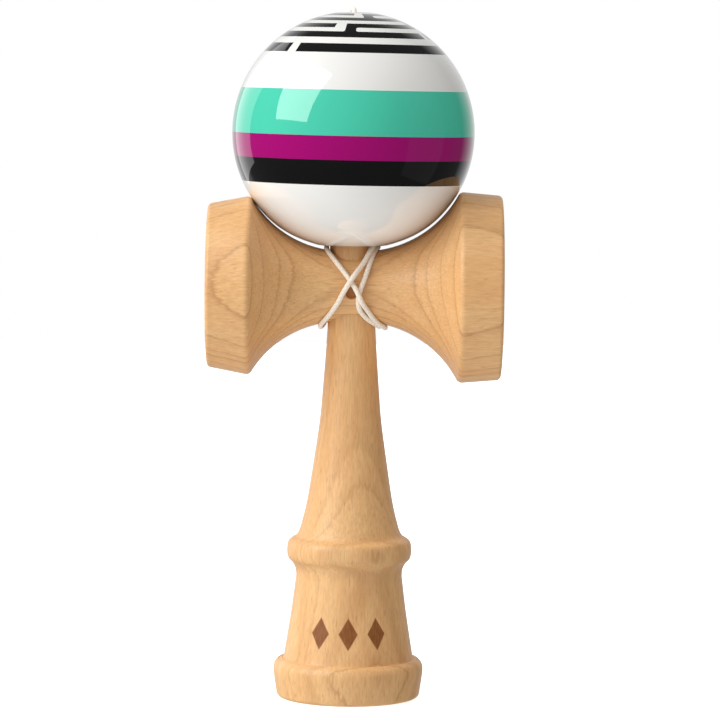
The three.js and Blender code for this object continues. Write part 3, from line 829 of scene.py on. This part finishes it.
small_end = [(radius, -out) for radius, out in cup_end(SMALL_CUP)][::-1]
sarado_outline = small_end + cup_end(BIG_CUP)
sarado = turned("sarado_body", sarado_outline, sides=128, axis="X", centre=(0, 0, SARADO_HEIGHT))
bore = turned("ken_bore", [
    (0, SARADO_HEIGHT - SEAT_HALF), (SEAT_BOTTOM_RADIUS + SEAT_GAP, SARADO_HEIGHT - SEAT_HALF),
    (SEAT_TOP_RADIUS + SEAT_GAP, SARADO_HEIGHT + SEAT_HALF), (0, SARADO_HEIGHT + SEAT_HALF),
], sides=96)
string_hole = drill(
    "string_hole", STRING_HOLE_RADIUS, STRING_HOLE_MOUTH, MOUTH_DEPTH, reach=NECK_RADIUS + 1.5)
cut(sarado, bore, string_hole)
crisp(sarado, 35)
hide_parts("sarado")
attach(sarado, "ken")
count(sarado)

# %% [markdown]
# The cross piece's grain runs along X. Its pith lies 9 mm under its axis and 40 mm behind it, so that the
# rings sweep round the flares in long arches, lie level on the bands, and cross the cups as bent lines.

# %% Sarado finish
SARADO_PITH = (9.0 - SARADO_HEIGHT, 40.0)  # after the turn, down is the first number and back the second
paint(sarado, beech("turned_beech_cross_piece", (0, -90, 2), SARADO_PITH, 2.3, 0.55))

# %% [markdown]
# ## The ken
#
# The handle is turned from one long blank with the grain along it. From the base up: the base cup, a
# flange with an eased edge, a cut line, a waisted body, a ring, the long hollow taper of the grip, a
# conical seat that the sarado is pressed onto, and the spike. A turner checks such a shape with callipers
# at a few heights, and the outline here is given in the same way. The knot's hole is cut out afterwards.

# %% Ken mesh
BASE_EDGE = 1.2
SHAFT_FOOT = (12.2, 42.6)
RING = [
    (13.2, 30.4), (13.4, 32.2), (14.15, 33.7), (15.1, 34.7), (15.48, 36.0), (15.45, 38.0), (15.1, 39.1),
    (14.3, 39.8),
]
SHAFT = [(10.7, 0.125), (9.1, 0.33), (7.65, 0.54), (6.95, 0.71), (6.4, 0.86)]  # radius, share of the height
BASE_LIP, BASE_DEPTH = 14.8, 7.0
SPIKE_RADIUS, SPIKE_ROUNDING = 4.4, 2.2
SHAFT_TOP = (SEAT_BOTTOM_RADIUS, SARADO_HEIGHT - SEAT_HALF)
SPIKE_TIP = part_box("ken")[1].z / MM
KNOT_HOLE_RADIUS, KNOT_HOLE_END = 2.5, -2.2  # drilled from the back, to just past the axis


def ken_outline():
    """The handle's outline, from the deepest point of the base cup to the tip of the spike."""
    shaft = [(radius, SHAFT_FOOT[1] + share * (SHAFT_TOP[1] - SHAFT_FOOT[1])) for radius, share in SHAFT]

    # The base cup, the ring it stands on, the flange and the cut line over it.
    points = cup(BASE_LIP, BASE_DEPTH, 0.0, 1, 24) + [(15.6, 0.0)]
    points += arc(17.9 - BASE_EDGE, BASE_EDGE, BASE_EDGE, -90, 0, 8)
    points += smooth([(17.9, BASE_EDGE), (18.65, 6.6), (18.35, 8.5), (17.5, 9.45)], 6)[1:]
    points += [(17.35, 9.28), (17.2, 9.45), (16.9, 9.68), (16.55, 9.74), (16.36, 9.62), (16.24, 9.82)]

    # The waisted body, the ring, and the foot and taper of the grip.
    points += smooth([(16.1, 10.2), (14.35, 21.3), RING[0]], 8)
    points += smooth(RING, 5)[1:]
    points += smooth([RING[-1], (13.3, 40.4), (12.65, 41.4), SHAFT_FOOT], 5)[1:]
    points += smooth([SHAFT_FOOT] + shaft + [SHAFT_TOP], 7)[1:]

    # The seat's top edge, and the spike with its rounded tip.
    points.append((SEAT_TOP_RADIUS, SARADO_HEIGHT + SEAT_HALF))
    points += arc(SPIKE_RADIUS - SPIKE_ROUNDING, SPIKE_TIP - SPIKE_ROUNDING, SPIKE_ROUNDING, 8, 90, 10)
    points.append((0.0, SPIKE_TIP))
    return eased(points, nearest(points, (BASE_LIP, 0.0)), LIP_SOFTNESS, 4)


ken = turned("ken_handle", ken_outline(), sides=128)
knot_hole = turned("knot_hole", [
    (0, KNOT_HOLE_END), (KNOT_HOLE_RADIUS, KNOT_HOLE_END), (KNOT_HOLE_RADIUS, 14), (0, 14),
], sides=48, axis="Y", centre=(0, 0, STRING_HOLE_HEIGHT))
cut(ken, knot_hole)
crisp(ken, 40)
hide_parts("ken")
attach(ken, "ken")
count(ken)

# %% [markdown]
# The ken's beech has its pith 34 mm behind it, which draws straight lines on the grip and an arch on the
# cone. A row of three lozenges is burnt into the front of the body with a hot stamp: the scorched wood is
# brown, and darker where the fibre is dense. A lozenge is the set of points where the distance across
# plus the distance along, each over its own half size, is under one.

# %% Ken finish
LOZENGES = [(-7.2, 17.6), (0.0, 17.6), (7.2, 17.6)]  # place round the body and height, in mm
LOZENGE_HALF = (2.5, 4.2)
LOZENGE_BODY = 14.9  # the body's radius at that height
SCORCHED = "#8c4c0a"


def burnt_lozenges(tree, space, fibre, wood):
    """Burns the lozenges into the wood's colour, a little unevenly along the fibre."""
    split = add(tree, "SeparateXYZ", [space]).node.outputs
    front = add(tree, "Math", [split["Y"], -1.0], operation="MULTIPLY")
    around = add(tree, "Math", [split["X"], front], operation="ARCTAN2")
    burn = 0.0
    for across, height in LOZENGES:
        u = add(tree, "Math", [around, LOZENGE_BODY / LOZENGE_HALF[0], -across / LOZENGE_HALF[0]],
                operation="MULTIPLY_ADD")
        v = add(tree, "Math", [split["Z"], 1 / (LOZENGE_HALF[1] * MM), -height / LOZENGE_HALF[1]],
                operation="MULTIPLY_ADD")
        u, v = (add(tree, "Math", [side], operation="ABSOLUTE") for side in (u, v))
        both = add(tree, "Math", [u, v], operation="ADD")
        one = add(tree, "Math", [both, -9.0, 9.0], operation="MULTIPLY_ADD", use_clamp=True)
        burn = add(tree, "Math", [burn, one], operation="MAXIMUM")
    char = add(tree, "Math", [fibre, 0.5, 0.7], operation="MULTIPLY_ADD", use_clamp=True)
    char = add(tree, "Math", [char, burn], operation="MULTIPLY")
    return add(tree, "Mix", {0: char, 6: wood, 7: colour(SCORCHED)}, 2, data_type="RGBA")


paint(ken, beech("turned_beech_handle", (1.5, -1.0, 0), (-6.0, 34.0), 2.6, 0.38, burnt_lozenges))

# %% [markdown]
# ## Bead
#
# The bead is a small turned barrel inside the ball that keeps the knot from slipping back through its
# top hole. It is a ring in section, so its closed outline is spun, with the edges of its hole eased.

# %% Bead
BEAD_RADIUS, BEAD_HALF = 4.2, 3.5
BEAD_HOLE, BEAD_HOLE_MOUTH = 1.05, 1.25
bead_middle = (BEAD_TOP + BEAD_BOTTOM) / 2
barrel = [(BEAD_RADIUS * cos(radians(a)), bead_middle + BEAD_HALF * sin(radians(a)) / sin(radians(60)))
          for a in range(-60, 61, 6)]
hole = [(BEAD_HOLE_MOUTH, BEAD_TOP), (BEAD_HOLE, BEAD_TOP - 0.3), (BEAD_HOLE, BEAD_BOTTOM + 0.3),
        (BEAD_HOLE_MOUTH, BEAD_BOTTOM)]
bead = turned("string_bead", barrel + hole, sides=64, closed=True)
crisp(bead, 40)
paint(bead, beech("turned_beech_bead", (0, 0, 0), (3.0, 5.0), 2.4, 0.5))
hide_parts("bead")
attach(bead, "bead")
count(bead)

# %% [markdown]
# ### Braided nylon
#
# The cord is braided from fine nylon yarns. Two sets of slanting ridges cross each other on its UV map,
# three and three round the cord, and each repeats every 1.2 mm along it, which is as coarse as the braid
# needs to be to show. Nylon fibre is off-white and matt, with a little sheen at its edges.

# %% Braided nylon
YARNS_ROUND = 3
BRAID_PITCH = 1.2


def braided_nylon(name):
    """Braided nylon cord: crossing ridges in the bump, a colour with painted highlight on the ridges and
    painted shade between them, and a soft fuzz.
    """
    made, tree, shader = material(name, Roughness=0.7, IOR=1.53, Sheen_Weight=0.2, Sheen_Roughness=0.4)
    space = add(tree, "TexCoord", {}, "UV")
    waves = []
    for lean in (1, -1):
        slanted = add(tree, "VectorMath", [space, (pi * YARNS_ROUND, lean * pi / BRAID_PITCH, 0)], "Value",
                      operation="DOT_PRODUCT")
        wave = add(tree, "Math", [slanted], operation="SINE")
        waves.append(add(tree, "Math", [wave], operation="ABSOLUTE"))
    ridge = add(tree, "Math", waves, operation="MINIMUM")
    space = add(tree, "TexCoord", {}, "Object")
    fuzz = add(tree, "TexNoise", {"Vector": space, "Scale": 2600.0, "Detail": 3.0}, "Fac")
    # Painted highlight and shade: the colour follows the ridge height, lighter on the ridge tops and darker
    # in the grooves, and the fuzz lays a random tone over it.
    shade = add(tree, "Math", [ridge, 0.7, 0.1], operation="MULTIPLY_ADD")
    shade = add(tree, "Math", [fuzz, 0.3, shade], operation="MULTIPLY_ADD", use_clamp=True)
    tone = add(tree, "ValToRGB", [shade], stops=[(0.0, "#e6d3bb"), (0.4, "#f8ead6"), (1.0, "#fff8ee")])
    tree.links.new(tone, shader.inputs["Base Color"])
    height = add(tree, "Math", [fuzz, 0.3, ridge], operation="MULTIPLY_ADD")
    bump = add(tree, "Bump", {"Height": height, "Strength": 0.45, "Distance": 0.06 * MM})
    tree.links.new(bump, shader.inputs["Normal"])
    return made


NYLON = braided_nylon("braided_nylon")
for piece in (string, bead_knot, ken_knot):
    paint(piece, NYLON)
print("nylon ready")

# %% [markdown]
# ## Studio
#
# The toy stands on a plain white floor. It glows a little, as a table that is lit from below does, and it
# is kept out of reflections and bounced light: the surround, made next, gives both of those.

# %% Floor
FLOOR_HALF = 1.2  # metres from its middle to its edge
floor_bm = bmesh.new()
bmesh.ops.create_grid(floor_bm, x_segments=1, y_segments=1, size=FLOOR_HALF)
floor = finished("studio_floor", floor_bm)
FLOOR_GLOW = 0.62
floor_material, floor_tree, floor_shader = material(
    "matt_white_floor", Roughness=0.9, Specular_IOR_Level=0.0, Emission_Color=(1.0, 1.0, 1.0, 1.0),
    Emission_Strength=FLOOR_GLOW)
floor_space = add(floor_tree, "TexCoord", {}, "Object")
mottle = add(floor_tree, "TexNoise", {"Vector": floor_space, "Scale": 3.0}, "Fac")
floor_tone = add(floor_tree, "ValToRGB", [mottle], stops=[(0.0, 0.83), (1.0, 0.86)])
floor_tree.links.new(floor_tone, floor_shader.inputs["Base Color"])
paint(floor, floor_material)
floor.visible_glossy = False
floor.visible_diffuse = False
print("floor", 2 * FLOOR_HALF, "m wide")

# %% [markdown]
# Soft boxes shape the toy. The key box, up on the left in front, shows as a window on the ball. A tall
# panel on the left and a weaker one on the right edge it, and a fill box behind on the right shapes the
# cups when they are seen from the side; that one is kept out of reflections.

# %% Lights
MIDDLE_OF_TOY = Vector((0.0, 0.0, 0.12))


def soft_box(name, turn, rise, distance, size, glow):
    """A flat light that faces the toy, turned left (-) or right (+) of the front and raised, in degrees."""
    light = bpy.data.lights.new(name, "AREA")
    light.shape = "RECTANGLE"
    light.size, light.size_y = size
    light.energy = glow * pi * size[0] * size[1]
    box = bpy.data.objects.new(name, light)
    bpy.context.scene.collection.objects.link(box)
    around, up = radians(turn), radians(rise)
    way = Vector((sin(around) * cos(up), -cos(around) * cos(up), sin(up)))
    box.location = MIDDLE_OF_TOY + way * distance
    box.rotation_euler = way.to_track_quat("Z", "Y").to_euler()
    print(name, "watts", round(light.energy, 1))
    return box


soft_box("key_window", -62, 35, 1.5, (1.0, 1.35), 3.3)
soft_box("left_panel", -132, 12, 1.4, (0.9, 1.5), 0.65)
soft_box("right_panel", 74, 2, 1.4, (1.05, 2.2), 0.05)
back_box = soft_box("back_right_fill", 130, 42, 1.5, (0.5, 0.5), 3.6)
back_box.visible_glossy = False

# %% [markdown]
# The surround is a world. Matt surfaces are lit by it from all sides, as by white walls, a ceiling and a
# table, and a little less from the right. Lacquer mirrors a darker one, so that black stays black. The
# backdrop itself is plain white.

# %% Surround
FRONT_GLOW, BACK_GLOW = 0.07, 0.7  # what a mirror would see in front and behind
WALL, CEILING, TABLE, LESS_ON_THE_RIGHT = 0.54, 0.45, 0.74, -0.4  # what lights a matt surface
world = bpy.data.worlds.new("studio_surround")
world.use_nodes = True
bpy.context.scene.world = world
sky = world.node_tree
rays = add(sky, "LightPath", {}).node.outputs
way = add(sky, "SeparateXYZ", [add(sky, "TexCoord", {}, "Generated")]).node.outputs
mirrored = add(sky, "MapRange", [way["Y"], 0.6, 0.95, FRONT_GLOW, BACK_GLOW])
above = add(sky, "Math", [way["Z"], 0.0], operation="MAXIMUM")
downward = add(sky, "Math", [way["Z"], -1.0], operation="MULTIPLY")
below = add(sky, "Math", [downward, 0.0], operation="MAXIMUM")
fill = add(sky, "Math", [way["X"], LESS_ON_THE_RIGHT, WALL], operation="MULTIPLY_ADD")
fill = add(sky, "Math", [above, CEILING, fill], operation="MULTIPLY_ADD")
fill = add(sky, "Math", [below, TABLE, fill], operation="MULTIPLY_ADD")
lit = add(sky, "Mix", {0: rays["Is Glossy Ray"], 2: fill, 3: mirrored})
shown = add(sky, "Mix", {0: rays["Is Camera Ray"], 2: lit, 3: 1.0})
sky.links.new(shown, sky.nodes["Background"].inputs["Strength"])
sky.nodes["Background"].inputs["Color"].default_value = (1.0, 1.0, 1.0, 1.0)
bpy.context.scene.view_settings.view_transform = "Standard"
print("studio ready")

# %% [markdown]
# ## Finish
#
# The last cell only prints that the script is done.

# %% Finish
print("done")
